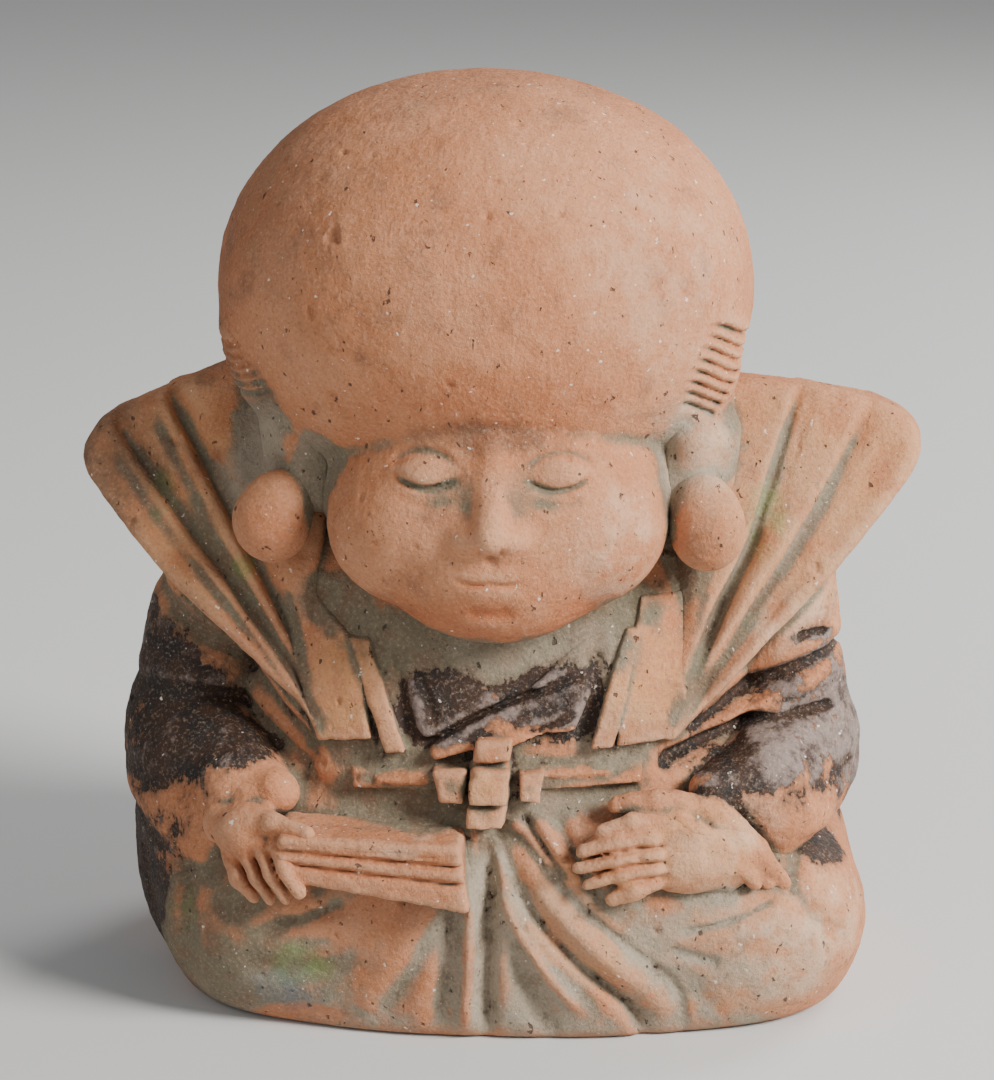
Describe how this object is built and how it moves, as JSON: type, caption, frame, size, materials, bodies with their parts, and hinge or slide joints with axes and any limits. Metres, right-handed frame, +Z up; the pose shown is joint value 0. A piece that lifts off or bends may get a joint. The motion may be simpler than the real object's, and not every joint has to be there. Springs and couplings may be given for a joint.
{
  "type": "seated clay doll",
  "caption": "Hollow low-fired clay doll of a kneeling figure with a large bald head, flared formal shoulder vest, knotted waist cord and a closed fan, for display on a shelf.",
  "frame": {"origin": "middle of the foot, on the resting plane", "axes": "+Z up, the figure faces -Y, its own left hand is on +X"},
  "size_m": [0.098, 0.0678, 0.11],
  "materials": {
    "terracotta": "matt low-fired clay, worn, with pits and buff patches",
    "stained_clay": "matt clay with grey-green grime and faint pigment",
    "black_painted_clay": "flaking black paint over clay",
    "raw_clay": "unpainted inside clay"
  },
  "bodies": {
    "root": {"back_board": "stained_clay", "base_disc": "raw_clay", "body_back_shell": "stained_clay", "body_front_shell": "stained_clay", "body_seam_coil": "raw_clay", "cord_knot": "terracotta", "cuff_left": "terracotta", "cuff_right": "terracotta", "ear_left": "terracotta", "ear_lobe_left": "terracotta", "ear_lobe_right": "terracotta", "ear_right": "terracotta", "folding_fan": "terracotta", "hand_left": "terracotta", "hand_right": "terracotta", "head_back_shell": "terracotta", "head_front_shell": "terracotta", "head_seam_coil": "raw_clay", "kimono_collar_left": "black_painted_clay", "kimono_collar_right": "black_painted_clay", "lapel_left": "terracotta", "lapel_right": "terracotta", "neck": "raw_clay", "shoulder_wing_left": "terracotta", "shoulder_wing_right": "terracotta", "side_lock_left": "terracotta", "side_lock_right": "terracotta", "sleeve_left": "black_painted_clay", "sleeve_right": "black_painted_clay", "topknot": "terracotta", "vest_back": "stained_clay", "vest_panel_left": "terracotta", "vest_panel_right": "terracotta", "waist_cord": "stained_clay"}
  },
  "joints": []
}
